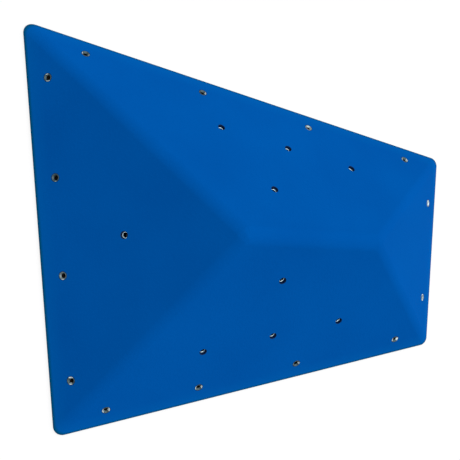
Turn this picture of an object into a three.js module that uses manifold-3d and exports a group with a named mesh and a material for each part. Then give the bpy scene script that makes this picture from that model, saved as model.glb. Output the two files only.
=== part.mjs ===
// Climbing volume: a hollow moulded shell shaped like a low hip roof on an irregular
// four-sided outline. It screws to a climbing wall through metal bushes near its rim,
// and holds are bolted to its flat faces through threaded nuts fixed behind the shell.
//
// Units are millimetres. The open back lies on z = 0 against the wall, and +Z points
// out of the wall. +X runs from the wide end to the narrow end.

import * as THREE from 'three';
import { ConvexGeometry } from 'three/addons/geometries/ConvexGeometry.js';
import { mergeVertices } from 'three/addons/utils/BufferGeometryUtils.js';
import Module from 'manifold-3d';

const wasm = await Module();
wasm.setup();

// Outline on the wall, as four corners before they are rounded
const wideEdge = 750;
const upperCornerReach = 855;
const upperCornerRise = 90;
const lowerCornerReach = 784;
const lowerCornerDrop = 303;

// Slope of each flat face above the wall, in degrees
const wideSlope = 34.5;
const lowerSlope = 36.5;
const narrowSlope = 37;
const upperSlope = 36;

// Shell
const wallThickness = 5;
const rimHeight = 6;
const edgeRound = 30;

// Clearance that separate pieces keep where they meet
const fitGap = 0.3;
// Cutters run this far past the faces that they cut through
const cutOverrun = 20;

// Screw bushes: a turned ring with a wide rim, a cone for the screw's head and a bore
const bushRimRadius = 7;
const bushRimHeight = 2;
const bushBodyRadius = 5.5;
const bushBoreRadius = 3.1;
const bushConeRadius = 6;
const bushConeDepth = 3;
const bushEdgeBreak = 0.3;
const bushInset = 30;
const wideBushInset = 34;
const narrowBushInset = 34;

// Distance from each corner to the nearest screw bush, along the edge
const wideUpperMargin = 111;
const wideLowerMargin = 99;
const lowerWideMargin = 95;
const lowerNarrowMargin = 87;
const narrowLowerMargin = 97;
const narrowUpperMargin = 103;
const upperNarrowMargin = 92;
const upperWideMargin = 121;

// Spacing of the bushes between the first and the last on an edge
const upperBushShares = [0, 1 / 3, 2 / 3, 1];
const wideBushShares = [0, 1 / 3, 0.657, 1];
const narrowBushShares = [0, 1];
const lowerBushShares = [0, 0.29, 0.625, 1];

// Threaded nuts: a barrel in the backing disc, and a flange with two ears behind it
const nutBarrelRadius = 6;
const nutThreadRadius = 4.25;
const nutMouthBreak = 0.8;
const nutFlangeThickness = 2;
const nutFlangeRadius = 11;
const nutEarRadius = 5.5;
const nutEarReach = 16;

// Places of the nuts, each as its share of the edge's length from the edge's first
// corner, then its share of the way from the rim up to the peak
const wideNutShares = [[0.539, 0.424]];
const lowerNutShares = [
  [0.35, 0.342],
  [0.526, 0.342],
  [0.703, 0.342],
  [0.533, 0.693],
];
const upperNutShares = [
  [0.569, 0.327],
  [0.415, 0.327],
  [0.26, 0.327],
  [0.456, 0.66],
];

// Plywood discs behind the nuts
const discRadius = 32;
const discThickness = 15;

// Pan-head screws that hold each nut's flange to its disc
const screwShankRadius = 2;
const screwTipLength = 3;
const screwTipCover = 3;
const screwHeadRadius = 3.8;
const screwHeadHeight = 2.4;
const screwCrownShare = 0.75;

// Timber battens inside the rim, which the wall screws pull against
const battenReach = 62;
const battenHeight = 34;
const battenDrillRadius = 3.1;

// Number of flats on round and rounded forms
const blendSteps = 6;
const bushSides = 14;
const nutSides = 14;
const discSides = 24;
const screwSides = 8;

// Materials, coloured as the object looks in plain daylight
const gelcoatBlue = new THREE.MeshStandardMaterial({ color: 0x0056a6, roughness: 0.42, metalness: 0 });
const steel = new THREE.MeshStandardMaterial({ color: 0xc4c8ca, roughness: 0.3, metalness: 1 });
const zincSteel = new THREE.MeshStandardMaterial({ color: 0xaeb2b4, roughness: 0.38, metalness: 1 });
const plywood = new THREE.MeshStandardMaterial({ color: 0xc9a877, roughness: 0.75, metalness: 0 });
const timber = new THREE.MeshStandardMaterial({ color: 0xb98f5c, roughness: 0.8, metalness: 0 });
const screwSteel = new THREE.MeshStandardMaterial({ color: 0xd0c08a, roughness: 0.35, metalness: 1 });

// Solids

// Turns a closed geometry into a solid that can be joined and cut
function solidOf(geometry) {
  const bare = geometry.clone();
  bare.deleteAttribute('normal');
  bare.deleteAttribute('uv');
  const merged = mergeVertices(bare);
  return new wasm.Manifold(new wasm.Mesh({
    numProp: 3,
    vertProperties: new Float32Array(merged.attributes.position.array),
    triVerts: new Uint32Array(merged.index.array),
  }));
}

// Turns a solid back into a geometry
function geometryOf(solid) {
  const mesh = solid.getMesh();
  const geometry = new THREE.BufferGeometry();
  geometry.setAttribute('position', new THREE.BufferAttribute(mesh.vertProperties, 3));
  geometry.setIndex(new THREE.BufferAttribute(mesh.triVerts, 1));
  geometry.computeVertexNormals();
  return geometry;
}

// Revolves a profile of [radius, height] pairs about the Z axis. The profile runs
// upwards on its outer side, and starts and ends on the axis or on one same point.
function turned(profile, sides) {
  const points = profile.map(([radius, height]) => new THREE.Vector2(radius, height));
  return new THREE.LatheGeometry(points, sides).rotateX(Math.PI / 2);
}

// A plain round bar along Z between two heights
function bar(radius, bottom, top, sides) {
  return turned([[0, bottom], [radius, bottom], [radius, top], [0, top]], sides);
}

// Cuts a list of cutter geometries out of a solid, all in one cut
function cutFrom(solid, cutters) {
  return solid.subtract(cutters.map(solidOf).reduce((all, one) => all.add(one)));
}

// Outline and faces

const upperWideCorner = new THREE.Vector3(0, wideEdge / 2, 0);
const lowerWideCorner = new THREE.Vector3(0, -wideEdge / 2, 0);
const lowerNarrowCorner = new THREE.Vector3(lowerCornerReach, -lowerCornerDrop, 0);
const upperNarrowCorner = new THREE.Vector3(upperCornerReach, upperCornerRise, 0);

// One side of the outline with the flat face that leans in from it. Along runs with
// the shell on its left, inward points into the outline, rise points up the slope.
function side(from, to, slopeDegrees) {
  const slope = THREE.MathUtils.degToRad(slopeDegrees);
  const up = new THREE.Vector3(0, 0, 1);
  const along = to.clone().sub(from).normalize();
  const inward = new THREE.Vector3().crossVectors(up, along);
  const rise = inward.clone().multiplyScalar(Math.cos(slope)).addScaledVector(up, Math.sin(slope));
  const normal = new THREE.Vector3().crossVectors(along, rise);
  const foot = from.clone().setZ(rimHeight);
  return { from, to, slope, along, inward, rise, normal, foot, length: from.distanceTo(to) };
}

const wideSide = side(upperWideCorner, lowerWideCorner, wideSlope);
const lowerSide = side(lowerWideCorner, lowerNarrowCorner, lowerSlope);
const narrowSide = side(lowerNarrowCorner, upperNarrowCorner, narrowSlope);
const upperSide = side(upperNarrowCorner, upperWideCorner, upperSlope);
const sides = [wideSide, lowerSide, narrowSide, upperSide];
const meanSlope = sides.reduce((sum, one) => sum + one.slope, 0) / sides.length;

// The point where three faces meet, each moved inwards by a depth
function meetingPoint(first, second, third, depth) {
  const distance = (one) => one.normal.dot(one.foot) - depth;
  const secondThird = new THREE.Vector3().crossVectors(second.normal, third.normal);
  const thirdFirst = new THREE.Vector3().crossVectors(third.normal, first.normal);
  const firstSecond = new THREE.Vector3().crossVectors(first.normal, second.normal);
  return new THREE.Vector3()
    .addScaledVector(secondThird, distance(first))
    .addScaledVector(thirdFirst, distance(second))
    .addScaledVector(firstSecond, distance(third))
    .divideScalar(first.normal.dot(secondThird));
}

// Rounded roof. A ball of radius edgeRound rolls along every hip and along the ridge,
// so the blends are parts of cylinders and the two ridge ends are parts of spheres.

const wideBallCentre = meetingPoint(wideSide, lowerSide, upperSide, edgeRound);
const narrowBallCentre = meetingPoint(narrowSide, upperSide, lowerSide, edgeRound);

// Directions evenly blended between two or three faces' normals
function blendOf(...weighted) {
  const sum = new THREE.Vector3();
  weighted.forEach(([one, weight]) => sum.addScaledVector(one.normal, weight));
  return sum.normalize();
}

function patchDirections(first, second, third) {
  const directions = [];
  for (let i = 0; i <= blendSteps; i += 1) {
    for (let j = 0; j <= blendSteps - i; j += 1) {
      directions.push(blendOf([first, i], [second, j], [third, blendSteps - i - j]));
    }
  }
  return directions;
}

// The closed form under the outer face, or under a face parallel to it and deeper by
// the given depth. Its sides drop straight from the roof's foot to the given bottom.
function roofForm(depth, bottom) {
  const radius = edgeRound - depth;
  const footHeight = rimHeight - depth * Math.tan(Math.PI / 4 - meanSlope / 2);
  const points = [];

  const addHip = (first, second, ballCentre) => {
    const hip = new THREE.Vector3().crossVectors(first.normal, second.normal).normalize();
    for (let step = 0; step <= blendSteps; step += 1) {
      const direction = blendOf([first, blendSteps - step], [second, step]);
      const start = ballCentre.clone().addScaledVector(direction, radius);
      const foot = start.addScaledVector(hip, (footHeight - start.z) / hip.z);
      points.push(foot, foot.clone().setZ(bottom));
    }
  };
  addHip(upperSide, wideSide, wideBallCentre);
  addHip(wideSide, lowerSide, wideBallCentre);
  addHip(lowerSide, narrowSide, narrowBallCentre);
  addHip(narrowSide, upperSide, narrowBallCentre);

  patchDirections(wideSide, lowerSide, upperSide).forEach((direction) => {
    points.push(wideBallCentre.clone().addScaledVector(direction, radius));
  });
  patchDirections(narrowSide, upperSide, lowerSide).forEach((direction) => {
    points.push(narrowBallCentre.clone().addScaledVector(direction, radius));
  });
  return new ConvexGeometry(points);
}

// Places on the faces. A place is a matrix whose Z axis stands on the outer face.

function placeOn(one, alongDistance, inset) {
  const point = one.foot.clone()
    .addScaledVector(one.along, alongDistance)
    .addScaledVector(one.rise, inset / Math.cos(one.slope));
  return new THREE.Matrix4().makeBasis(one.along, one.rise, one.normal).setPosition(point);
}

// A row of screw bushes between a margin at each end of the edge
function bushRow(name, one, shares, startMargin, endMargin, inset) {
  const run = one.length - startMargin - endMargin;
  return shares.map((share, index) => ({
    name: `${name}_${index + 1}`,
    place: placeOn(one, startMargin + share * run, inset),
  }));
}

const bushPlaces = [
  ...bushRow('wide', wideSide, wideBushShares, wideUpperMargin, wideLowerMargin, wideBushInset),
  ...bushRow('lower', lowerSide, lowerBushShares, lowerWideMargin, lowerNarrowMargin, bushInset),
  ...bushRow('narrow', narrowSide, narrowBushShares, narrowLowerMargin, narrowUpperMargin,
    narrowBushInset),
  ...bushRow('upper', upperSide, upperBushShares, upperNarrowMargin, upperWideMargin, bushInset),
];

const peak = meetingPoint(wideSide, lowerSide, upperSide, 0);

function nutGroup(name, one, placeShares) {
  const wayToPeak = peak.clone().sub(one.from).dot(one.inward);
  return placeShares.map(([alongShare, riseShare], index) => ({
    name: `${name}_${index + 1}`,
    place: placeOn(one, alongShare * one.length, riseShare * wayToPeak),
  }));
}

const nutPlaces = [
  ...nutGroup('wide', wideSide, wideNutShares),
  ...nutGroup('lower', lowerSide, lowerNutShares),
  ...nutGroup('upper', upperSide, upperNutShares),
];

// Depths below the outer face, measured along a place's Z axis
const bushSeatDepth = bushRimHeight + fitGap;
const discFront = -(wallThickness + fitGap);
const discBack = discFront - discThickness;
const flangeFront = discBack - fitGap;
const flangeBack = flangeFront - nutFlangeThickness;
const screwHeadSeat = flangeBack - fitGap;
const screwTip = discFront - screwTipCover;

// Shell: the outer form less the parallel inner form, with a stepped seat for each
// bush and a round hole in front of each nut

function bushSeatCutters({ place }) {
  const bodyHole = bar(bushBodyRadius + fitGap, -wallThickness - cutOverrun, 0, bushSides);
  const rimRecess = bar(bushRimRadius + fitGap, -bushSeatDepth, cutOverrun, bushSides);
  return [bodyHole.applyMatrix4(place), rimRecess.applyMatrix4(place)];
}

function nutHoleCutter({ place }) {
  const radius = nutBarrelRadius + fitGap;
  return bar(radius, -wallThickness - cutOverrun, cutOverrun, nutSides).applyMatrix4(place);
}

const outerForm = roofForm(0, 0);
const shellWall = solidOf(outerForm).subtract(solidOf(roofForm(wallThickness, -cutOverrun)));
const shellCutters = [...bushPlaces.flatMap(bushSeatCutters), ...nutPlaces.map(nutHoleCutter)];
const shellGeometry = geometryOf(cutFrom(shellWall, shellCutters));

// Battens: mitred strips of timber whose outer side is bevelled to the shell's slope,
// drilled through for the wall screws

// The corner where two sides of the outline cross after both moved inwards
function insetCorner(first, second, inset) {
  const start = first.to.clone().addScaledVector(first.inward, inset);
  const goal = second.from.clone().addScaledVector(second.inward, inset);
  const reach = goal.sub(start).dot(second.inward) / first.along.dot(second.inward);
  return start.addScaledVector(first.along, reach);
}

const battenCavity = solidOf(roofForm(wallThickness + fitGap, -cutOverrun));
const screwDrills = bushPlaces.map(({ place }) => (
  bar(battenDrillRadius, -battenReach, 0, screwSides).applyMatrix4(place)
));

function battenGeometry(one, before, after) {
  const startInner = insetCorner(before, one, battenReach);
  const endInner = insetCorner(one, after, battenReach);
  const startMitre = startInner.clone().sub(one.from).normalize();
  const endMitre = endInner.clone().sub(one.to).normalize();
  const startShift = fitGap / 2 / startMitre.dot(one.inward);
  const endShift = -fitGap / 2 / endMitre.dot(one.inward);
  const plan = new THREE.Shape([
    one.from.clone().addScaledVector(one.along, startShift),
    one.to.clone().addScaledVector(one.along, endShift),
    endInner.addScaledVector(one.along, endShift),
    startInner.addScaledVector(one.along, startShift),
  ].map(({ x, y }) => new THREE.Vector2(x, y)));
  const strip = new THREE.ExtrudeGeometry(plan, { depth: battenHeight, bevelEnabled: false });
  return geometryOf(cutFrom(solidOf(strip).intersect(battenCavity), screwDrills));
}

// Hardware, modelled with Z along its axis and z = 0 on the shell's outer face

const bushGeometry = turned([
  [bushBoreRadius, -wallThickness],
  [bushBodyRadius, -wallThickness],
  [bushBodyRadius, -bushRimHeight],
  [bushRimRadius, -bushRimHeight],
  [bushRimRadius, -bushEdgeBreak],
  [bushRimRadius - bushEdgeBreak, 0],
  [bushConeRadius, 0],
  [bushBoreRadius, -bushConeDepth],
  [bushBoreRadius, -wallThickness],
], bushSides);

// Flange outline: a round middle drawn out into two ears along the edge direction
function flangeOutline() {
  const lean = Math.acos((nutFlangeRadius - nutEarRadius) / nutEarReach);
  const outline = new THREE.Shape();
  outline.absarc(nutEarReach, 0, nutEarRadius, -lean, lean);
  outline.absarc(0, 0, nutFlangeRadius, lean, Math.PI - lean);
  outline.absarc(-nutEarReach, 0, nutEarRadius, Math.PI - lean, Math.PI + lean);
  outline.absarc(0, 0, nutFlangeRadius, Math.PI + lean, 2 * Math.PI - lean);
  return outline;
}

const earCentres = [-nutEarReach, nutEarReach];

function nutGeometry() {
  const flange = new THREE.ExtrudeGeometry(flangeOutline(), {
    depth: nutFlangeThickness,
    bevelEnabled: false,
    curveSegments: nutSides / 4,
  }).translate(0, 0, flangeBack);
  const barrel = bar(nutBarrelRadius, flangeBack + nutFlangeThickness / 2, discFront, nutSides);
  const thread = turned([
    [0, flangeBack - cutOverrun],
    [nutThreadRadius, flangeBack - cutOverrun],
    [nutThreadRadius, discFront - nutMouthBreak],
    [nutThreadRadius + nutMouthBreak, discFront],
    [nutThreadRadius + nutMouthBreak, discFront + cutOverrun],
    [0, discFront + cutOverrun],
  ], nutSides);
  const earHoles = earCentres.map((x) => (
    bar(screwShankRadius + fitGap, flangeBack - cutOverrun, flangeFront + cutOverrun, screwSides)
      .translate(x, 0, 0)
  ));
  return geometryOf(cutFrom(solidOf(flange).add(solidOf(barrel)), [thread, ...earHoles]));
}

function discGeometry() {
  const disc = bar(discRadius, discBack, discFront, discSides);
  const barrelHole = bar(nutBarrelRadius + fitGap, discBack - cutOverrun,
    discFront + cutOverrun, nutSides);
  const screwHoles = earCentres.map((x) => (
    bar(screwShankRadius + fitGap, discBack - cutOverrun, screwTip + fitGap, screwSides)
      .translate(x, 0, 0)
  ));
  return geometryOf(cutFrom(solidOf(disc), [barrelHole, ...screwHoles]));
}

// Pan head behind the flange, shank and point running forwards into the disc
function screwGeometry() {
  const crown = screwHeadSeat - screwHeadHeight;
  return turned([
    [0, crown],
    [screwHeadRadius * screwCrownShare, crown],
    [screwHeadRadius, crown + screwHeadHeight / 2],
    [screwHeadRadius, screwHeadSeat],
    [screwShankRadius, screwHeadSeat],
    [screwShankRadius, screwTip - screwTipLength],
    [0, screwTip],
  ], screwSides);
}

// Assembly

const volume = new THREE.Group();

function addPiece(parent, name, geometry, material) {
  const piece = new THREE.Mesh(geometry, material);
  piece.name = name;
  parent.add(piece);
  return piece;
}

// A group that stands on a place, so that its pieces keep their own simple axes
function groupAt(place) {
  const group = new THREE.Group();
  group.applyMatrix4(place);
  volume.add(group);
  return group;
}

addPiece(volume, 'moulded_shell', shellGeometry, gelcoatBlue);

addPiece(volume, 'batten_wide', battenGeometry(wideSide, upperSide, lowerSide), timber);
addPiece(volume, 'batten_lower', battenGeometry(lowerSide, wideSide, narrowSide), timber);
addPiece(volume, 'batten_narrow', battenGeometry(narrowSide, lowerSide, upperSide), timber);
addPiece(volume, 'batten_upper', battenGeometry(upperSide, narrowSide, wideSide), timber);

bushPlaces.forEach(({ name, place }) => {
  addPiece(groupAt(place), `screw_bush_${name}`, bushGeometry, steel);
});

const nut = nutGeometry();
const disc = discGeometry();
const screw = screwGeometry();
nutPlaces.forEach(({ name, place }) => {
  const station = groupAt(place);
  addPiece(station, `backing_disc_${name}`, disc, plywood);
  addPiece(station, `threaded_nut_${name}`, nut, zincSteel);
  earCentres.forEach((x, index) => {
    const piece = addPiece(station, `nut_screw_${name}_${index + 1}`, screw, screwSteel);
    piece.position.x = x;
  });
});

// The origin is under the middle of the volume, on the wall's face
outerForm.computeBoundingBox();
const middle = outerForm.boundingBox.getCenter(new THREE.Vector3());
volume.position.set(-middle.x, -middle.y, 0);

export default volume;
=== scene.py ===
# %% [markdown]
# # A moulded climbing volume
#
# This lesson dresses a climbing volume: a hollow blue shell like a low hip roof, which
# climbers screw to a wall and bolt their holds to. A imported model, the frame, already
# holds every piece at its real size. Each chapter takes one kind of piece, looks at how
# the real one is made, and models it finely in the same place.
#
# The frame is loaded first, and its size is kept.

# %% Load the frame
from math import acos, pi, radians, tan

import bmesh
import bpy
from mathutils import Matrix, Vector


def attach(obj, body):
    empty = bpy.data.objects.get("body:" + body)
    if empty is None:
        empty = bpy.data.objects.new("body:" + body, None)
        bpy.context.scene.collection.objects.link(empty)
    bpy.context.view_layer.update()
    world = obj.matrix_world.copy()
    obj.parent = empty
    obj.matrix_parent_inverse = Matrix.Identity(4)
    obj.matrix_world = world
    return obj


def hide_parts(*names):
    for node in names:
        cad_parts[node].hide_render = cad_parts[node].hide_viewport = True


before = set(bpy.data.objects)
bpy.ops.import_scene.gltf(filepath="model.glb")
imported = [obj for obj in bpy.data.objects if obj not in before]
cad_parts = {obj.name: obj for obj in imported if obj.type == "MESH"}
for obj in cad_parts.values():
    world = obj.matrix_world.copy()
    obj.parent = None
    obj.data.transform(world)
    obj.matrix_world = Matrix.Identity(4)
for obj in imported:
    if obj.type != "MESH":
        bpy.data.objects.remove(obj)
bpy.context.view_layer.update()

MM = 0.001
SAME_POINT = 0.001 * MM
MERGE_REACH = 0.002 * MM
LEVEL_REACH = 0.01 * MM
LATHE_SIDES = 64
SHARP_ANGLE = 35
FLAT_ANGLE = 0.5

# %% [markdown]
# ## The camera
#
# A camera looks along its own -Z axis. This one stands 1.3 metres in front of
# the volume, to the left of its middle, and is turned back towards it, so the wide end
# looks longer than the narrow one. The lens was worked out from the same photograph
# angle: 57 mm on a 36 mm sensor, in a square picture. It comes first, because every
# later look at the work goes through it.

# %% Camera
SENSOR_WIDTH = 36
FOCAL_LENGTH = 56.93
CAMERA_PLACE = Vector((-0.53937, -0.07604, 1.34369))
CAMERA_TURN = (radians(3.631), radians(-19.332), radians(-5.105))

lens = bpy.data.cameras.new("front_camera")
lens.sensor_width = SENSOR_WIDTH
lens.lens = FOCAL_LENGTH
camera = bpy.data.objects.new("front_camera", lens)
camera.location = CAMERA_PLACE
camera.rotation_euler = CAMERA_TURN
bpy.context.scene.collection.objects.link(camera)
bpy.context.scene.camera = camera
print("camera stands", round(CAMERA_PLACE.z, 2), "m above the floor")

# %% [markdown]
# ## Helpers for making pieces
#
# Small parts are made on a bench: at the origin, upright, where their sizes are easy to
# write. Then one matrix puts them in place. A material that should follow the part, such
# as lathe marks round a bush, needs to know where each point lay on the bench. So every
# point keeps its bench place in an attribute, which a shader can read later.
#
# Modifiers such as Boolean and Bevel do the cutting and the rounding. Their result is
# baked into the mesh at once, so what is measured later is what is shown.

# %% Make an object from a bmesh, and bake its modifiers
def piece_from(form, name, *materials):
    """Turns a bmesh into an object in the scene, with its materials in slot order."""
    mesh = bpy.data.meshes.new(name)
    form.to_mesh(mesh)
    form.free()
    piece = bpy.data.objects.new(name, mesh)
    bpy.context.scene.collection.objects.link(piece)
    for material in materials:
        mesh.materials.append(material)
    return piece


def baked(piece):
    """Gives a piece the mesh that its modifiers make, and takes the modifiers off."""
    graph = bpy.context.evaluated_depsgraph_get()
    mesh = bpy.data.meshes.new_from_object(
        piece.evaluated_get(graph), preserve_all_data_layers=True, depsgraph=graph
    )
    mesh.name = piece.name
    piece.modifiers.clear()
    piece.data = mesh
    return piece


def carved(piece, cutter, operation="DIFFERENCE"):
    """Cuts a second object out of a piece, or joins it on, and removes the second.

    Points that the Boolean left on top of each other are merged, and faces with many
    sides are split into triangles, so that none of those ends up without an area.
    """
    cut = piece.modifiers.new("carve", "BOOLEAN")
    cut.operation = operation
    cut.solver = "EXACT"
    cut.object = cutter
    baked(piece)
    bpy.data.objects.remove(cutter)
    form = bmesh.new()
    form.from_mesh(piece.data)
    bmesh.ops.remove_doubles(form, verts=form.verts, dist=MERGE_REACH)
    bmesh.ops.dissolve_degenerate(form, edges=form.edges, dist=MERGE_REACH)
    many_sided = [face for face in form.faces if len(face.verts) > 4]
    bmesh.ops.triangulate(form, faces=many_sided, quad_method="BEAUTY", ngon_method="BEAUTY")
    form.to_mesh(piece.data)
    form.free()
    return piece


def softened(piece, width, segments=3, angle=SHARP_ANGLE):
    """Rounds every edge that is sharper than an angle, as a tool or a plane would."""
    bevel = piece.modifiers.new("soften", "BEVEL")
    bevel.width = width
    bevel.segments = segments
    bevel.limit_method = "ANGLE"
    bevel.angle_limit = radians(angle)
    return baked(piece)


def smooth(piece, sharp_angle=SHARP_ANGLE):
    """Shades a piece smoothly, but keeps its sharp edges and its large flats flat."""
    piece.data.shade_smooth()
    piece.data.set_sharp_from_angle(angle=radians(sharp_angle))
    weighted = piece.modifiers.new("flats", "WEIGHTED_NORMAL")
    weighted.keep_sharp = True
    return baked(piece)


def finish_faces(piece, slot, wanted):
    """Gives another of a piece's materials to the faces whose middle passes a test."""
    for face in piece.data.polygons:
        if wanted(face.center):
            face.material_index = slot


# %% Turn a profile on the lathe
def turned(profile, steps=LATHE_SIDES):
    """Spins a closed profile of (radius, height) points in mm round the bench's Z axis."""
    form = bmesh.new()
    corners = [form.verts.new((radius * MM, 0, height * MM)) for radius, height in profile]
    lines = [form.edges.new(pair) for pair in zip(corners, corners[1:] + corners[:1])]
    bmesh.ops.spin(
        form, geom=corners + lines, cent=(0, 0, 0), axis=(0, 0, 1), dvec=(0, 0, 0),
        angle=2 * pi, steps=steps, use_merge=True, use_normal_flip=False, use_duplicate=False,
    )
    bmesh.ops.remove_doubles(form, verts=form.verts, dist=SAME_POINT)
    loose = [edge for edge in form.edges if not edge.link_faces]
    bmesh.ops.delete(form, geom=loose, context="EDGES")
    bmesh.ops.recalc_face_normals(form, faces=form.faces)
    return form


def round_bar(radius, bottom, top):
    """A plain round bar along the bench's Z axis, for use as a cutter."""
    return turned([(0, bottom), (radius, bottom), (radius, top), (0, top)])


def together(forms):
    """Gathers several bmeshes into one."""
    whole = bmesh.new()
    for form in forms:
        mesh = bpy.data.meshes.new("gathered")
        form.to_mesh(mesh)
        form.free()
        whole.from_mesh(mesh)
    return whole


def stood(form, place, finish=0):
    """Stands a bench form in a place and gives its faces one of the piece's finishes."""
    bmesh.ops.transform(form, matrix=place, verts=form.verts)
    for face in form.faces:
        face.material_index = finish
    return form


# %% Put a bench piece in its place
EVEN_SHEEN = 0.5


def set_in_place(pattern, name, place, node, sheen=EVEN_SHEEN):
    """Copies a finished bench piece to a place, where it stands for one frame node."""
    form = bmesh.new()
    form.from_mesh(pattern.data)
    bench = form.verts.layers.float_vector.new("bench")
    # Each piece's amount of painted highlight, which the metals read.
    stain_and_sheen = form.verts.layers.float.new("sheen")
    for vert in form.verts:
        vert[bench] = vert.co
        vert[stain_and_sheen] = sheen
    bmesh.ops.transform(form, matrix=place, verts=form.verts)
    piece = piece_from(form, name, *pattern.data.materials)
    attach(piece, "root")
    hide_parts(node)


# %% [markdown]
# ## Reading the faces and places off the frame
#
# The shell has four flat faces: wide and narrow at the ends, lower and upper along the
# sides. Nothing about them needs to be typed in. The frame's shell is a mesh, so its
# triangles that share one upward normal can be gathered, and the four largest gatherings
# are the flat faces. Each face then gives a small set of axes: along its edge, up its
# slope, and out of the face.

# %% The four flat faces
class Face:
    """A flat outer face: its outward normal, a point on it, and its own axes."""

    def __init__(self, triangles):
        total = sum((t.normal * t.area for t in triangles), Vector())
        area = sum(t.area for t in triangles)
        self.normal = total.normalized()
        self.point = sum((t.center * t.area for t in triangles), Vector()) / area
        inward = -Vector((self.normal.x, self.normal.y, 0)).normalized()
        self.along = inward.cross(Vector((0, 0, 1)))
        self.rise = self.normal.cross(self.along)
        self.slope = acos(self.normal.z)
        self.area = area

    def place(self, point):
        """A matrix that stands on the face at the foot of a point."""
        foot = point - self.normal * self.normal.dot(point - self.point)
        axes = Matrix((self.along, self.rise, self.normal)).transposed()
        return Matrix.Translation(foot) @ axes.to_4x4()


UPWARD = 0.5

gathered = {}
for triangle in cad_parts["moulded_shell"].data.polygons:
    if triangle.normal.z > UPWARD:
        key = tuple(round(part, 2) for part in triangle.normal)
        gathered.setdefault(key, []).append(triangle)
largest = sorted((Face(group) for group in gathered.values()), key=lambda face: -face.area)[:4]
faces = {
    "wide": min(largest, key=lambda face: face.normal.x),
    "narrow": max(largest, key=lambda face: face.normal.x),
    "lower": min(largest, key=lambda face: face.normal.y),
    "upper": max(largest, key=lambda face: face.normal.y),
}
for name, face in faces.items():
    print(name, "face slopes", round(face.slope * 180 / pi, 1), "degrees")


# %% The frame's names for the small pieces
NODE_KINDS = {
    "bush": "screw_bush_",
    "nut": "threaded_nut_",
    "disc": "backing_disc_",
    "screw": "nut_screw_",
}


def kind_of(node):
    return next(kind for kind, start in NODE_KINDS.items() if node.startswith(start))


def nodes_of(kind):
    return sorted(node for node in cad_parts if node.startswith(NODE_KINDS[kind]))


def label_of(node):
    return node.removeprefix(NODE_KINDS[kind_of(node)])


print({kind: len(nodes_of(kind)) for kind in NODE_KINDS})


# %% Where each small piece stands
def place_of(node):
    """Finds a round piece's axis on its face from the middle of its frame node."""
    face = faces[label_of(node).split("_")[0]]
    points = [vert.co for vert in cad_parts[node].data.vertices]
    spans = [[point.dot(axis) for point in points] for axis in (face.along, face.rise)]
    middles = [(min(span) + max(span)) / 2 for span in spans]
    return face.place(
        face.along * middles[0] + face.rise * middles[1]
        + face.normal * face.normal.dot(face.point)
    )


# %% [markdown]
# ## Helpers for materials
#
# A material here is a small network of nodes. One helper adds a node and fills or links
# its inputs by name. Another starts a node group, for an effect that several materials
# share, such as grain or lathe marks. A group gives out only colours, masks and heights.
# The shader stays in the material, with its constant values on its own sockets.

# %% Nodes, groups and materials
def add(tree, kind, inputs=None, **settings):
    """Adds a node. An input is a value to set or a socket to link from."""
    made = tree.nodes.new("ShaderNode" + kind)
    for name, value in settings.items():
        setattr(made, name, value)
    for name, value in (inputs or {}).items():
        if isinstance(value, bpy.types.NodeSocket):
            tree.links.new(value, made.inputs[name])
        else:
            made.inputs[name].default_value = value
    return made


def calc(tree, operation, first, second=0.0):
    """Works out one sum with a Math node."""
    return add(tree, "Math", {0: first, 1: second}, operation=operation).outputs[0]


def blend(tree, factor, first, second):
    """Mixes two colours, each a socket or a plain red, green, blue value."""
    wanted = {0: factor, 6: first, 7: second}
    for key in (6, 7):
        if isinstance(wanted[key], tuple):
            wanted[key] = (*wanted[key], 1.0)
    return add(tree, "Mix", wanted, data_type="RGBA").outputs[2]


def spread(tree, value, low, high, to_low=0.0, to_high=1.0):
    """Stretches a range of a value to another range, and clamps it there."""
    return add(tree, "MapRange", {
        "Value": value, "From Min": low, "From Max": high, "To Min": to_low, "To Max": to_high,
    }).outputs["Result"]


def effect(name, inputs, outputs):
    """Starts a node group with named inputs, which have starting values, and outputs."""
    group = bpy.data.node_groups.new(name, "ShaderNodeTree")
    for socket, kind, value in inputs:
        made = group.interface.new_socket(socket, in_out="INPUT", socket_type="NodeSocket" + kind)
        if value is not None:
            made.default_value = value
    for socket, kind in outputs:
        group.interface.new_socket(socket, in_out="OUTPUT", socket_type="NodeSocket" + kind)
    return group, group.nodes.new("NodeGroupInput").outputs, group.nodes.new("NodeGroupOutput")


def use(tree, group, inputs):
    """Places a node group in a material and returns its outputs."""
    made = tree.nodes.new("ShaderNodeGroup")
    made.node_tree = group
    for name, value in inputs.items():
        if isinstance(value, bpy.types.NodeSocket):
            tree.links.new(value, made.inputs[name])
        else:
            made.inputs[name].default_value = value
    return made.outputs


def new_material(name, viewport_colour):
    """A material with only its output node, and a plain colour for the viewport."""
    material = bpy.data.materials.new(name)
    material.use_nodes = True
    material.node_tree.nodes.clear()
    material.diffuse_color = (*viewport_colour, 1.0)
    output = material.node_tree.nodes.new("ShaderNodeOutputMaterial")
    return material, material.node_tree, output


def bench_place(tree):
    """The place of each point on the bench, before the piece was put where it belongs."""
    return add(tree, "Attribute", attribute_name="bench").outputs["Vector"]


def object_place(tree):
    return add(tree, "TexCoord").outputs["Object"]


def bumped(tree, height, depth, strength=1.0):
    """A normal that follows a height between 0 and 1, over a depth in metres."""
    return add(tree, "Bump", {
        "Height": height, "Distance": depth, "Strength": strength,
    }).outputs["Normal"]
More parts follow.
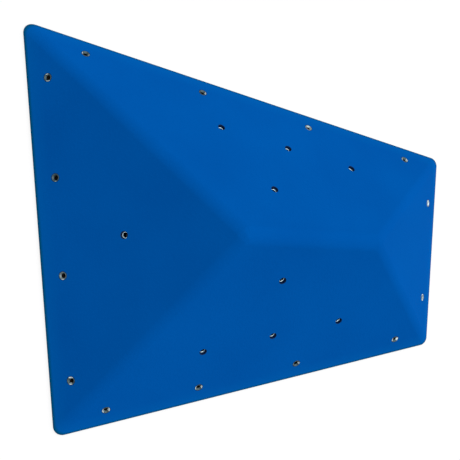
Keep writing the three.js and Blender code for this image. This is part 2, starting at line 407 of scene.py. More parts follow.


# %% [markdown]
# ## Effects that several materials share
#
# Three effects serve nearly every piece, and wood gets one of its own later. Soft mottle
# is the faint cloudiness that every real surface has, from pigment, resin or plating.
# Peel is the fine orange-peel ripple of anything sprayed or brushed on while wet. Lathe
# marks are fine rings round the bench's Z axis, left by a cutting tool. The same group
# tells how far round the ring a point lies, along the edge or up the slope, because the
# painted highlights and painted shade on a ring lie on some of its sides.

# %% Soft mottle
mottle, given, result = effect(
    "soft_mottle",
    [("Place", "Vector", None), ("Cloud Size", "Float", 0.1), ("Speck Size", "Float", 0.002)],
    [("Cloud", "Float"), ("Speck", "Float")],
)
for size, output, detail in (("Cloud Size", "Cloud", 3.0), ("Speck Size", "Speck", 2.0)):
    scale = calc(mottle, "DIVIDE", 1.0, given[size])
    noise = add(mottle, "TexNoise", {"Vector": given["Place"], "Scale": scale, "Detail": detail})
    mottle.links.new(spread(mottle, noise.outputs["Fac"], 0.3, 0.7), result.inputs[output])

# %% Peel
peel, given, result = effect(
    "peel",
    [("Place", "Vector", None), ("Ripple Size", "Float", 0.004)],
    [("Height", "Float")],
)
scale = calc(peel, "DIVIDE", 1.0, given["Ripple Size"])
wide_ripple = add(peel, "TexNoise", {"Vector": given["Place"], "Scale": scale, "Detail": 1.0})
fine_scale = calc(peel, "MULTIPLY", scale, 3.7)
fine_ripple = add(peel, "TexNoise", {"Vector": given["Place"], "Scale": fine_scale, "Detail": 2.0})
fine_part = calc(peel, "MULTIPLY", fine_ripple.outputs["Fac"], 0.3)
peel.links.new(calc(peel, "ADD", wide_ripple.outputs["Fac"], fine_part), result.inputs["Height"])

# %% Lathe marks
lathe, given, result = effect(
    "lathe_marks",
    [("Place", "Vector", None), ("Spacing", "Float", 0.0003)],
    [("Height", "Float"), ("Band", "Float"), ("Along Edge", "Float"), ("Up Slope", "Float")],
)
parts = add(lathe, "SeparateXYZ", {0: given["Place"]}).outputs
squares = calc(lathe, "ADD", calc(lathe, "MULTIPLY", parts["X"], parts["X"]),
               calc(lathe, "MULTIPLY", parts["Y"], parts["Y"]))
radius = calc(lathe, "SQRT", squares)
travel = calc(lathe, "DIVIDE", calc(lathe, "ADD", radius, parts["Z"]), given["Spacing"])
ring = add(lathe, "CombineXYZ", {"X": travel})
marks = add(lathe, "TexNoise", {"Vector": ring.outputs[0], "Scale": 1.0, "Detail": 2.0})
bands = add(lathe, "TexNoise", {"Vector": ring.outputs[0], "Scale": 0.13, "Detail": 1.0})
lathe.links.new(marks.outputs["Fac"], result.inputs["Height"])
lathe.links.new(spread(lathe, bands.outputs["Fac"], 0.3, 0.7), result.inputs["Band"])
along = calc(lathe, "DIVIDE", calc(lathe, "ABSOLUTE", parts["X"]), radius)
lathe.links.new(along, result.inputs["Along Edge"])
lathe.links.new(calc(lathe, "DIVIDE", parts["Y"], radius), result.inputs["Up Slope"])
print("shared effects:", sorted(group.name for group in bpy.data.node_groups))

# %% [markdown]
# ## Gelcoat
#
# The outside of a glass-fibre volume is its gelcoat: half a millimetre of pigmented resin
# that was sprayed into the mould first. This one is a deep even blue with almost no
# shine, because it was rubbed down so that rubber soles neither slip nor squeak. So the
# specular level is low and the roughness high. The colour clouds by a few hundredths, and
# a faint ripple breaks up what gloss there is.
#
# Near the wall the height above it changes the colour twice. The lowest two centimetres
# are a little lighter. The trimmed rim itself is darker: painted shade, where the rounded
# rim turns away from the light.

# %% Gelcoat material
GELCOAT_DEEP = (0.0, 0.0765, 0.338)
GELCOAT_LIGHT = (0.0, 0.088, 0.374)
RIM_PALE = (0.0, 0.101, 0.39)
# Painted shade along the trimmed rim, where it rounds away from the light.
RIM_PAINTED_SHADE = (0.0, 0.068, 0.135)
PALE_HEIGHTS = (8 * MM, 24 * MM)
PALE_AMOUNT = 0.6
RIM_SHADE_HEIGHTS = (7 * MM, 9.7 * MM)
RIM_SHADE_AMOUNT = 0.85

gelcoat, tree, output = new_material("gelcoat_blue", GELCOAT_LIGHT)
spot = object_place(tree)
clouds = use(tree, mottle, {"Place": spot, "Cloud Size": 0.16, "Speck Size": 0.0016})
tone = calc(tree, "ADD", calc(tree, "MULTIPLY", clouds["Cloud"], 0.65),
            calc(tree, "MULTIPLY", clouds["Speck"], 0.35))
height = add(tree, "SeparateXYZ", {0: spot}).outputs["Z"]
pale_part = spread(tree, height, *PALE_HEIGHTS, PALE_AMOUNT, 0.0)
rim_shade_part = spread(tree, height, *RIM_SHADE_HEIGHTS, RIM_SHADE_AMOUNT, 0.0)
colour = blend(tree, tone, GELCOAT_DEEP, GELCOAT_LIGHT)
colour = blend(tree, pale_part, colour, RIM_PALE)
# The darkest band at the rim is painted shade.
colour = blend(tree, rim_shade_part, colour, RIM_PAINTED_SHADE)
ripple = use(tree, peel, {"Place": spot, "Ripple Size": 0.005})
shader = add(tree, "BsdfPrincipled", {
    "Base Color": colour,
    "Roughness": spread(tree, clouds["Cloud"], 0.0, 1.0, 0.5, 0.58),
    "Specular IOR Level": 0.001,
    "Normal": bumped(tree, ripple["Height"], 0.00025),
})
tree.links.new(shader.outputs[0], output.inputs["Surface"])

# %% [markdown]
# ## Bare laminate
#
# Behind the gelcoat lies the laminate: mats of chopped glass strands, wetted out with
# resin by hand. The back of a volume is left bare, so it shows strands lying every way,
# a few shiny resin-rich spots, and the blue of the gelcoat through it. Three stretched
# noises, each turned another way, give the strands, and the mottle gives the wet spots.

# %% Laminate material
STRAND_TURNS = (0.35, 1.4, 2.5)
STRAND_STRETCH = (40, 900, 900)

laminate, tree, output = new_material("bare_laminate", (0.05, 0.13, 0.2))
spot = object_place(tree)
strands = []
for turn in STRAND_TURNS:
    combed = add(tree, "Mapping", {
        "Vector": spot, "Rotation": (0, 0, turn), "Scale": STRAND_STRETCH,
    })
    noise = add(tree, "TexNoise", {"Vector": combed.outputs[0], "Scale": 1.0, "Detail": 1.0})
    strands.append(spread(tree, noise.outputs["Fac"], 0.56, 0.66))
crossing = calc(tree, "MAXIMUM", strands[0], calc(tree, "MAXIMUM", strands[1], strands[2]))
clouds = use(tree, mottle, {"Place": spot, "Cloud Size": 0.05, "Speck Size": 0.003})
soaked = blend(tree, clouds["Cloud"], (0.012, 0.075, 0.2), (0.03, 0.12, 0.24))
shader = add(tree, "BsdfPrincipled", {
    "Base Color": blend(tree, calc(tree, "MULTIPLY", crossing, 0.55), soaked, (0.3, 0.42, 0.45)),
    "Roughness": spread(tree, clouds["Cloud"], 0.0, 1.0, 0.3, 0.55),
    "Specular IOR Level": 0.4,
    "Normal": bumped(tree, crossing, 0.0006, 0.6),
})
tree.links.new(shader.outputs[0], output.inputs["Surface"])

# %% [markdown]
# Where a drill went through, it left its own finish: a dull wall of gelcoat dust and cut
# fibre. It is darker than either, partly from that finish and partly as painted shade in
# the hole. Such a dark wall gives every hole its crisp outline.

# %% Drilled edge material
drilled, tree, output = new_material("drilled_edge", (0.002, 0.016, 0.07))
specks = use(tree, mottle, {"Place": object_place(tree), "Cloud Size": 0.006, "Speck Size": 0.0007})
shader = add(tree, "BsdfPrincipled", {
    "Base Color": blend(tree, specks["Speck"], (0.0, 0.01, 0.05), (0.003, 0.022, 0.09)),
    "Roughness": spread(tree, specks["Cloud"], 0.0, 1.0, 0.6, 0.75),
    "Specular IOR Level": 0.1,
    "Normal": bumped(tree, specks["Speck"], 0.0001),
})
tree.links.new(shader.outputs[0], output.inputs["Surface"])

# %% [markdown]
# ## The moulded shell
#
# The real shell is laid up in a mould with softly rounded hips and a rounded ridge. It
# could be sculpted, or subdivided from a cage, but then its flats would never be quite
# flat. Here it is made as its pattern maker would: a block is sawn along the four face
# planes, and then every hip and the ridge is rounded with one radius.
#
# A bevel takes an offset along the faces, and not a radius, and the hips meet at
# different angles. For an edge whose faces turn by an angle, the offset is the radius
# times the tangent of half that angle. So each edge gets its own bevel weight.

# %% Saw the block and round its edges
EDGE_ROUND = 30 * MM
RIM_HEIGHT = 6 * MM
RIM_ROUND = 2.5 * MM
WALL = 5 * MM
BLOCK = 1.2
BLOCK_BOTTOM = -0.05
ROUND_SEGMENTS = 24
RIM_SEGMENTS = 6
RIM_ANGLE = 30
SHELL_SHARP_ANGLE = 30
GELCOAT_SLOT, LAMINATE_SLOT, DRILLED_SLOT = 0, 1, 2


def sawn_block(depth):
    """A block under the four faces, each moved inwards by a depth."""
    block = bmesh.new()
    bmesh.ops.create_cube(block, size=BLOCK)
    cuts = [(face.point - face.normal * depth, face.normal) for face in faces.values()]
    cuts.append((Vector((0, 0, BLOCK_BOTTOM)), Vector((0, 0, -1))))
    for point, normal in cuts:
        everything = block.verts[:] + block.edges[:] + block.faces[:]
        cut = bmesh.ops.bisect_plane(
            block, geom=everything, dist=SAME_POINT, plane_co=point, plane_no=normal,
            clear_outer=True, clear_inner=False,
        )
        open_edges = [g for g in cut["geom_cut"] if isinstance(g, bmesh.types.BMEdge)]
        bmesh.ops.contextual_create(block, geom=open_edges)
    bmesh.ops.recalc_face_normals(block, faces=block.faces)
    return block


def rounded_block(depth, radius):
    """The sawn block with its hips and ridge rounded to one radius."""
    block = sawn_block(depth)
    weights = block.edges.layers.float.new("bevel_weight_edge")
    offsets = {}
    for edge in block.edges:
        if all(face.normal.z > 0 for face in edge.link_faces):
            offsets[edge] = radius * tan(edge.calc_face_angle() / 2)
    widest = max(offsets.values())
    for edge, offset in offsets.items():
        edge[weights] = offset / widest
    piece = piece_from(block, "rounded_block")
    bevel = piece.modifiers.new("round", "BEVEL")
    bevel.width = widest
    bevel.segments = ROUND_SEGMENTS
    bevel.limit_method = "WEIGHT"
    bevel.use_clamp_overlap = False
    print("rounded", len(offsets), "edges, offsets up to", round(widest / MM, 1), "mm")
    return baked(piece)


# %% [markdown]
# The rounded block still runs on downwards. Each skin of the shell is cut off level, a
# little above the wall, and drops straight from there. The inner skin is the same shape
# made from planes moved in by the wall's thickness, with its normals turned about. Both
# skins come from one recipe, so their lower edges have equal points and bridge cleanly.

# %% Cut one skin
def skin(depth):
    """One skin of the shell, open at the wall, with a short upright rim."""
    mean_slope = sum(face.slope for face in faces.values()) / len(faces)
    foot = RIM_HEIGHT - depth * tan(pi / 4 - mean_slope / 2)
    block = rounded_block(depth, EDGE_ROUND - depth)
    form = bmesh.new()
    form.from_mesh(block.data)
    bpy.data.objects.remove(block)
    bmesh.ops.bisect_plane(
        form, geom=form.verts[:] + form.edges[:] + form.faces[:], dist=SAME_POINT,
        plane_co=(0, 0, foot), plane_no=(0, 0, -1), clear_outer=True, clear_inner=False,
    )
    rim = [edge for edge in form.edges if edge.is_boundary]
    dropped = bmesh.ops.extrude_edge_only(form, edges=rim)["geom"]
    bmesh.ops.translate(
        form, vec=(0, 0, -foot), verts=[g for g in dropped if isinstance(g, bmesh.types.BMVert)]
    )
    bmesh.ops.recalc_face_normals(form, faces=form.faces)
    if sum(face.normal.z * face.calc_area() for face in form.faces) < 0:
        bmesh.ops.reverse_faces(form, faces=form.faces)
    return form


# %% Join the skins and round the rim
outer = skin(0)
inner = skin(WALL)
for face in inner.faces:
    face.material_index = LAMINATE_SLOT
bmesh.ops.reverse_faces(inner, faces=inner.faces)
inner_mesh = bpy.data.meshes.new("inner_skin")
inner.to_mesh(inner_mesh)
inner.free()
outer.from_mesh(inner_mesh)
open_edges = [edge for edge in outer.edges if edge.is_boundary]
bridge = bmesh.ops.bridge_loops(outer, edges=open_edges)
for face in bridge["faces"]:
    face.material_index = LAMINATE_SLOT
rim_edges = [
    edge for edge in outer.edges
    if edge.is_manifold and edge.is_convex
    and all(vert.co.z < RIM_HEIGHT + LEVEL_REACH for vert in edge.verts)
    and abs(edge.verts[0].co.z - edge.verts[1].co.z) < LEVEL_REACH
    and edge.calc_face_angle() > radians(RIM_ANGLE)
    and any(face.material_index == GELCOAT_SLOT for face in edge.link_faces)
]
bmesh.ops.bevel(
    outer, geom=rim_edges, offset=RIM_ROUND, offset_type="OFFSET", segments=RIM_SEGMENTS,
    profile=0.5, affect="EDGES", material=-1,
)
shell = piece_from(outer, "shell", gelcoat, laminate, drilled)
print("shell before drilling:", len(shell.data.polygons), "faces")

# %% [markdown]
# ## Drilling the shell
#
# Two kinds of hole go through the wall. Each bush sits in a stepped seat, and each nut
# shows through a plain 12.6 mm hole, wide enough for an M10 bolt. A drill leaves a small
# chamfer in gelcoat when its edge is broken with a countersink. So each cutter is turned
# with its chamfer on it, and one Boolean drills all. The cutter carries the drilled finish
# in the shell's third slot, so every face that it cuts has that finish.

# %% Drill all holes at once
FIT = 0.3
BUSH_RIM_RADIUS = 7
BUSH_RIM_HEIGHT = 2
BUSH_BODY_RADIUS = 5.5
NUT_BARREL_RADIUS = 6
HOLE_CHAMFER = 0.8
OVERRUN = 9

bush_seat = [
    (0, -OVERRUN), (BUSH_BODY_RADIUS + FIT, -OVERRUN),
    (BUSH_BODY_RADIUS + FIT, -BUSH_RIM_HEIGHT - FIT),
    (BUSH_RIM_RADIUS + FIT, -BUSH_RIM_HEIGHT - FIT),
    (BUSH_RIM_RADIUS + FIT, -HOLE_CHAMFER),
    (BUSH_RIM_RADIUS + FIT + OVERRUN, OVERRUN), (0, OVERRUN),
]
nut_hole = [
    (0, -OVERRUN), (NUT_BARREL_RADIUS + FIT, -OVERRUN),
    (NUT_BARREL_RADIUS + FIT, -HOLE_CHAMFER),
    (NUT_BARREL_RADIUS + FIT + OVERRUN, OVERRUN), (0, OVERRUN),
]
drill = together(
    stood(turned(profile), place_of(node), DRILLED_SLOT)
    for kind, profile in (("bush", bush_seat), ("nut", nut_hole)) for node in nodes_of(kind)
)
# The drilled finish on the hole walls is partly painted shade.
carved(shell, piece_from(drill, "drill", gelcoat, laminate, drilled))
smooth(shell, SHELL_SHARP_ANGLE)
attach(shell, "root")
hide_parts("moulded_shell")
print("shell after drilling:", len(shell.data.polygons), "faces")

# %% [markdown]
# ## Screw bushes
#
# A wall screw would pull through glass fibre, so it gets a metal bush with a cone for its
# countersunk head. Fourteen stand in the rim. They are turned parts, and a turned part is
# a profile spun about its axis.
#
# No bush looks like the next one. The lip and the cone are painted bright at the two
# ends that lie along the edge, as painted highlights, and the sides between them are
# painted dark grey, as painted dark reflections. Some shine all round and some are dull all
# round, so each gets its own amount of painted highlight from 0 to 1. The bore is painted
# near black, as painted shade, so it reads as a black disc.

# %% Bush metal
def metal(name, colour, roughness, spacing, mark_depth, stain, painted_light=None):
    """Turned or plated metal with lathe marks and a faint stain in its colour.

    Painted light is a dark colour, for painted shade and painted dark reflections, a place on
    the ring, where there it starts and is whole, and how much a piece's painted highlight
    takes off it. Where the dark colour is left off, the metal's bright colour is a painted
    highlight.
    """
    material, tree, output = new_material(name, colour)
    spot = bench_place(tree)
    marks = use(tree, lathe, {"Place": spot, "Spacing": spacing})
    clouds = use(tree, mottle, {"Place": spot, "Cloud Size": 0.004, "Speck Size": 0.0006})
    stain_and_sheen = calc(tree, "ADD", calc(tree, "MULTIPLY", marks["Band"], 0.5),
                calc(tree, "MULTIPLY", clouds["Cloud"], 0.5))
    rougher = calc(tree, "MULTIPLY", clouds["Speck"], 0.06)
    colour = blend(tree, stain_and_sheen, colour, stain)
    if painted_light:
        # Painted shade and painted dark reflections on part of the ring. The rest shows bright, as
        # painted highlights, moved about by a noise.
        dark, side, start, whole, response = painted_light
        uneven = add(tree, "TexNoise", {"Vector": object_place(tree), "Scale": 40.0})
        shift = spread(tree, uneven.outputs["Fac"], 0.35, 0.65, -0.2, 0.2)
        reached = calc(tree, "ADD", marks[side], shift)
        sheen = add(tree, "Attribute", attribute_name="sheen").outputs["Fac"]
        extra_dark = calc(tree, "MULTIPLY", calc(tree, "SUBTRACT", EVEN_SHEEN, sheen), response)
        amount = calc(tree, "ADD", spread(tree, reached, start, whole), extra_dark)
        colour = blend(tree, amount, colour, dark)
    shader = add(tree, "BsdfPrincipled", {
        "Base Color": colour,
        "Metallic": 1.0,
        "Roughness": calc(tree, "ADD", rougher, roughness),
        "Normal": bumped(tree, marks["Height"], mark_depth),
    })
    tree.links.new(shader.outputs[0], output.inputs["Surface"])
    return material


# Painted highlights at the ends along the edge, and painted dark reflections between them.
bush_metal = metal(
    "bush_steel", (0.82, 0.95, 1.0), 0.26, 0.0002, 0.00003, (0.68, 0.84, 0.9),
    painted_light=((0.065, 0.11, 0.13), "Along Edge", 1.0, 0.78, 1.2),
)
seat_metal = metal(
    "bush_seat", (0.8, 0.93, 0.98), 0.36, 0.0004, 0.00004, (0.6, 0.74, 0.8),
    painted_light=((0.045, 0.065, 0.07), "Along Edge", 1.05, 0.85, 2.0),
)
# Near-black painted shade for the bores of the bushes and the nuts.
shade_bore_metal = metal(
    "painted_shade_bore", (0.012, 0.013, 0.015), 0.5, 0.0004, 0.00003, (0.006, 0.006, 0.007),
)

# %% Turn one bush and set fourteen in place
BUSH_BORE_RADIUS = 3.1
BUSH_CONE_RADIUS = 6
BUSH_CONE_DEPTH = 3
BUSH_HEIGHT = 5
BUSH_BREAK = 0.3
BUSH_SEAT_SLOT, BUSH_BORE_SLOT = 1, 2
SHADED_SHARE = 0.2
BUSH_SHADE_RADIUS = BUSH_BORE_RADIUS + (BUSH_CONE_RADIUS - BUSH_BORE_RADIUS) * SHADED_SHARE
BUSH_SHADE_DEPTH = BUSH_CONE_DEPTH * (1 - SHADED_SHARE)
# How much painted highlight each bush gets.
BUSH_SHEEN = {
    "wide_1": 0.15, "wide_2": 0.2, "wide_3": 0.55, "wide_4": 0.45,
    "upper_1": 0.25, "upper_2": 0.65, "upper_3": 0.2, "upper_4": 0.2,
    "narrow_1": 0.6, "narrow_2": 0.72,
    "lower_1": 0.3, "lower_2": 0.25, "lower_3": 0.4, "lower_4": 0.5,
}

bush_profile = [
    (BUSH_BORE_RADIUS, -BUSH_HEIGHT),
    (BUSH_BODY_RADIUS, -BUSH_HEIGHT),
    (BUSH_BODY_RADIUS, -BUSH_RIM_HEIGHT),
    (BUSH_RIM_RADIUS, -BUSH_RIM_HEIGHT),
    (BUSH_RIM_RADIUS, 0),
    (BUSH_CONE_RADIUS, 0),
    (BUSH_SHADE_RADIUS, -BUSH_SHADE_DEPTH),
    (BUSH_BORE_RADIUS, -BUSH_CONE_DEPTH),
]
bush = piece_from(turned(bush_profile), "bush_pattern", bush_metal, seat_metal, shade_bore_metal)
softened(bush, BUSH_BREAK * MM)
finish_faces(
    bush, BUSH_SEAT_SLOT,
    lambda spot: spot.xy.length < (BUSH_CONE_RADIUS - BUSH_BREAK) * MM,
)
finish_faces(bush, BUSH_BORE_SLOT, lambda spot: spot.xy.length < BUSH_SHADE_RADIUS * MM)
smooth(bush)
for node in nodes_of("bush"):
    label = label_of(node)
    set_in_place(bush, "bush_" + label, place_of(node), node, BUSH_SHEEN[label])
bpy.data.objects.remove(bush)
print("bushes:", len(nodes_of("bush")))

# %% [markdown]
# ## Threaded nuts
#
# Behind each bolt hole waits an M10 nut: a barrel through a plywood disc, on a pressed
# flange with two ears. Only the barrel's front ring shows from outside, a few millimetres
# down the hole. It is painted bright down the slope, as a painted highlight, and dark up
# the slope, as painted shade under the hole's upper edge.
# Its mouth is chamfered to catch the bolt. The thread is cut as grooves of the real pitch.
# The flange is the hull of three round discs, which is what a press tool with three round
# corners stamps.

# %% The nut's sizes and metals, and the barrel's profile
DISC_FRONT = -5.3
DISC_BACK = -20.3
FLANGE_FRONT = -20.6
FLANGE_BACK = -22.6
THREAD_PITCH = 1.5
THREAD_RADIUS = 4.25
THREAD_DEPTH = 0.75
MOUTH_BREAK = 0.5
FLANGE_RADIUS = 11
EAR_RADIUS = 5.5
EAR_REACH = 16
EAR_HOLE_RADIUS = 2.3
BARREL_BREAK = 0.4
BARREL_OVERLAP = 0.5
THREAD_RUNOUT = 0.4
FLANGE_BREAK = 0.35
FLANGE_OVERRUN = 2
NUT_BORE_SLOT, NUT_RING_SLOT = 1, 2
# How much painted highlight a nut's ring gets, where it differs from the even amount.
NUT_SHEEN = {"wide_1": 0.8}

nut_metal = metal("zinc_steel", (0.62, 0.66, 0.68), 0.4, 0.0004, 0.00003, (0.45, 0.48, 0.48))
# Painted shade up the slope and a painted highlight down it, on the ring.
ring_metal = metal(
    "nut_ring", (0.66, 0.86, 0.96), 0.4, 0.0004, 0.00003, (0.56, 0.76, 0.86),
    painted_light=((0.03, 0.05, 0.06), "Up Slope", -0.1, 0.4, 2.0),
)


def thread_profile(bottom, top):
    """Points down a threaded bore, with a V groove at each pitch."""
    turns = int((top - bottom) / THREAD_PITCH)
    points = []
    for turn in range(turns):
        height = top - turn * THREAD_PITCH
        points.append((THREAD_RADIUS, height))
        points.append((THREAD_RADIUS + THREAD_DEPTH, height - THREAD_PITCH / 2))
    points.append((THREAD_RADIUS, top - turns * THREAD_PITCH))
    return points


barrel_profile = [
    (NUT_BARREL_RADIUS, DISC_FRONT - BARREL_BREAK),
    (NUT_BARREL_RADIUS - BARREL_BREAK, DISC_FRONT),
    (THREAD_RADIUS + MOUTH_BREAK, DISC_FRONT),
    *thread_profile(FLANGE_BACK + THREAD_RUNOUT, DISC_FRONT - MOUTH_BREAK),
    (THREAD_RADIUS, FLANGE_BACK),
    (NUT_BARREL_RADIUS, FLANGE_BACK),
]

# %% Press the flange and join the barrel to it
flange = bmesh.new()
for height in (FLANGE_BACK, FLANGE_FRONT):
    for reach, radius in ((0, FLANGE_RADIUS), (EAR_REACH, EAR_RADIUS), (-EAR_REACH, EAR_RADIUS)):
        bmesh.ops.create_circle(
            flange, segments=LATHE_SIDES, radius=radius * MM, cap_ends=False,
            matrix=Matrix.Translation((reach * MM, 0, height * MM)),
        )
hull = bmesh.ops.convex_hull(flange, input=flange.verts)
inside = {
    part for part in hull["geom_interior"] + hull["geom_unused"]
    if isinstance(part, bmesh.types.BMVert)
}
bmesh.ops.delete(flange, geom=list(inside), context="VERTS")
bmesh.ops.dissolve_limit(
    flange, angle_limit=radians(FLAT_ANGLE), verts=flange.verts, edges=flange.edges,
    use_dissolve_boundaries=False,
)
bmesh.ops.recalc_face_normals(flange, faces=flange.faces)
nut = piece_from(flange, "nut_pattern", nut_metal, shade_bore_metal, ring_metal)
softened(nut, FLANGE_BREAK * MM, segments=2)
holes = together(
    stood(
        round_bar(radius, FLANGE_BACK - FLANGE_OVERRUN, FLANGE_FRONT + FLANGE_OVERRUN),
        Matrix.Translation((reach * MM, 0, 0)),
    )
    for reach, radius in (
        (0, NUT_BARREL_RADIUS - BARREL_OVERLAP),
        (EAR_REACH, EAR_HOLE_RADIUS),
        (-EAR_REACH, EAR_HOLE_RADIUS),
    )
)
carved(nut, piece_from(holes, "holes"))
barrel = piece_from(turned(barrel_profile), "barrel", nut_metal, shade_bore_metal, ring_metal)
carved(nut, barrel, "UNION")
finish_faces(nut, NUT_RING_SLOT, lambda spot: spot.z > (DISC_FRONT - MOUTH_BREAK) * MM)
# The threaded bore gets the near-black painted shade.
finish_faces(
    nut, NUT_BORE_SLOT,
    lambda spot: spot.xy.length < (THREAD_RADIUS + THREAD_DEPTH) * MM
    and spot.z < (DISC_FRONT - MOUTH_BREAK) * MM,
)
smooth(nut)
for node in nodes_of("nut"):
    label = label_of(node)
    sheen = NUT_SHEEN.get(label, EVEN_SHEEN)
    set_in_place(nut, "nut_" + label, place_of(node), node, sheen)
bpy.data.objects.remove(nut)
print("nuts:", len(nodes_of("nut")))

# %% [markdown]
# ## Wood
#
# Timber is a solid texture: yearly rings round the tree's heart, drawn out along its
# length and cut by whatever face we look at. If rings and fibres are made in space, end
# grain and long grain agree at every corner without any unwrapping. Plywood is the same
# wood in thin sheets, each laid across the one below, so its edge shows dark and pale
# lines in turn.

# %% Wood grain, shared by timber and plywood
wood, given, result = effect(
    "wood_grain",
    [("Place", "Vector", None), ("Ring Width", "Float", 0.004), ("Heart Depth", "Float", 0.06)],
    [("Ring", "Float"), ("Fibre", "Float")],
)
stretched = add(wood, "Mapping", {"Vector": given["Place"], "Scale": (0.12, 1.0, 1.0)}).outputs[0]
wander = add(wood, "TexNoise", {"Vector": stretched, "Scale": 22.0, "Detail": 2.0})
parts = add(wood, "SeparateXYZ", {0: stretched}).outputs
deep = calc(wood, "ADD", parts["Z"], given["Heart Depth"])
squares = calc(wood, "ADD", calc(wood, "MULTIPLY", parts["Y"], parts["Y"]),
               calc(wood, "MULTIPLY", deep, deep))
from_heart = calc(wood, "ADD", calc(wood, "SQRT", squares),
                  calc(wood, "MULTIPLY", wander.outputs["Fac"], 0.012))
cycle = calc(wood, "FRACT", calc(wood, "DIVIDE", from_heart, given["Ring Width"]))
early = spread(wood, cycle, 0.0, 0.8)
late = spread(wood, cycle, 0.8, 1.0, 1.0, 0.0)
wood.links.new(calc(wood, "MULTIPLY", early, late), result.inputs["Ring"])
hair = add(wood, "Mapping", {"Vector": given["Place"], "Scale": (60, 2600, 2600)}).outputs[0]
hairs = add(wood, "TexNoise", {"Vector": hair, "Scale": 1.0, "Detail": 2.0})
wood.links.new(spread(wood, hairs.outputs["Fac"], 0.3, 0.7), result.inputs["Fibre"])

# %% Plywood and timber materials
PLY_THICKNESS = 1.25 * MM


def wood_shader(tree, output, ring, fibre, pale, dark, roughness):
    """Colour from rings and fibres, and a dry surface with raised fibres."""
    grain = calc(tree, "ADD", calc(tree, "MULTIPLY", ring, 0.7),
                 calc(tree, "MULTIPLY", fibre, 0.3))
    shader = add(tree, "BsdfPrincipled", {
        "Base Color": blend(tree, grain, pale, dark),
        "Roughness": spread(tree, fibre, 0.0, 1.0, roughness - 0.06, roughness + 0.06),
        "Specular IOR Level": 0.25,
        "Normal": bumped(tree, grain, 0.0002, 0.7),
    })
    tree.links.new(shader.outputs[0], output.inputs["Surface"])


# Near-black painted shade for the drill holes in the battens.
shaded_timber_bore, tree, output = new_material("shaded_timber_bore", (0.02, 0.016, 0.012))
specks = use(tree, mottle, {"Place": object_place(tree), "Cloud Size": 0.004, "Speck Size": 0.0008})
shader = add(tree, "BsdfPrincipled", {
    "Base Color": blend(tree, specks["Speck"], (0.008, 0.007, 0.006), (0.03, 0.022, 0.015)),
    "Roughness": spread(tree, specks["Cloud"], 0.0, 1.0, 0.6, 0.8),
    "Specular IOR Level": 0.2,
})
tree.links.new(shader.outputs[0], output.inputs["Surface"])

timber, tree, output = new_material("timber", (0.48, 0.29, 0.13))
grain = use(tree, wood, {"Place": bench_place(tree), "Ring Width": 0.0042, "Heart Depth": 0.07})
wood_shader(
    tree, output, grain["Ring"], grain["Fibre"], (0.58, 0.37, 0.18), (0.36, 0.19, 0.08), 0.7,
)

plywood, tree, output = new_material("plywood", (0.6, 0.42, 0.23))
spot = bench_place(tree)
parts = add(tree, "SeparateXYZ", {0: spot}).outputs
layer = calc(tree, "FLOOR", calc(tree, "DIVIDE", parts["Z"], PLY_THICKNESS))
odd = calc(tree, "PINGPONG", layer, 1.0)
turned_spot = add(tree, "CombineXYZ", {"X": parts["Y"], "Y": parts["X"], "Z": parts["Z"]})
in_sheet = add(tree, "Mix", {0: odd, 4: spot, 5: turned_spot.outputs[0]}, data_type="VECTOR")
grain = use(tree, wood, {"Place": in_sheet.outputs[1], "Ring Width": 0.009, "Heart Depth": 0.2})
sheet = calc(tree, "FRACT", calc(tree, "DIVIDE", parts["Z"], PLY_THICKNESS))
glue = spread(tree, sheet, 0.0, 0.09, 1.0, 0.0)
tone = calc(tree, "ADD", calc(tree, "MULTIPLY", grain["Ring"], 0.5),
            calc(tree, "MULTIPLY", odd, 0.35))
tone = calc(tree, "MAXIMUM", tone, glue)
wood_shader(tree, output, tone, grain["Fibre"], (0.66, 0.48, 0.28), (0.38, 0.23, 0.11), 0.75)

# %% [markdown]
# ## Backing discs
#
# Nine plywood discs spread each nut's pull over the laminate. A hole saw cut them, so
# they are round, with crisp edges that sandpaper has just broken. The profile leaves the
# middle open for the nut's barrel. Shell and disc were drilled in one go, so the disc's
# bore has the same dark finish as the shell's.

# %% Discs
DISC_RADIUS = 32
DISC_SIDES = 96
DISC_BREAK = 0.5
BORE_MARGIN = 0.6
DISC_BORE_SLOT = 1

disc_profile = [
    (NUT_BARREL_RADIUS + FIT, DISC_BACK), (DISC_RADIUS, DISC_BACK),
    (DISC_RADIUS, DISC_FRONT), (NUT_BARREL_RADIUS + FIT, DISC_FRONT),
]
disc = piece_from(turned(disc_profile, DISC_SIDES), "disc_pattern", plywood, drilled)
softened(disc, DISC_BREAK * MM, segments=2)
# The disc's bore takes the drilled finish, which is partly painted shade.
finish_faces(
    disc, DISC_BORE_SLOT,
    lambda spot: spot.xy.length < (NUT_BARREL_RADIUS + FIT + BORE_MARGIN) * MM,
)
smooth(disc)
for node in nodes_of("disc"):
    set_in_place(disc, "disc_" + label_of(node), place_of(node), node)
bpy.data.objects.remove(disc)
print("discs:", len(nodes_of("disc")))

# %% [markdown]
# ## Pan-head screws
#
# Two small screws hold each flange. A pan head is a turned dome with a cross pressed into
# it. The cross is two thin wedges. They cross each other, and a Boolean expects a cutter
# that doesn't, so each wedge is cut by itself. The screws are plated yellow, so they stand
# out from the grey flange.

# %% Screws
SCREW_SEAT = -22.9
SCREW_HEAD_RADIUS = 3.8
SCREW_HEAD_HEIGHT = 2.4
SCREW_SHANK_RADIUS = 2
SCREW_TIP = -8.3
SCREW_TIP_LENGTH = 3
SCREW_SIDES = 48
SCREW_BREAK = 0.15
DOME_WIDTH_SHARES = (0.55, 0.88, 1)
DOME_HEIGHTS = (0.15, 0.8, 1.5)
CROSS_LENGTH = 4.2
CROSS_WIDTH = 0.9
CROSS_DEPTH = 1.5
CROSS_OVERRUN = 2
CROSS_TAPER = 0.45

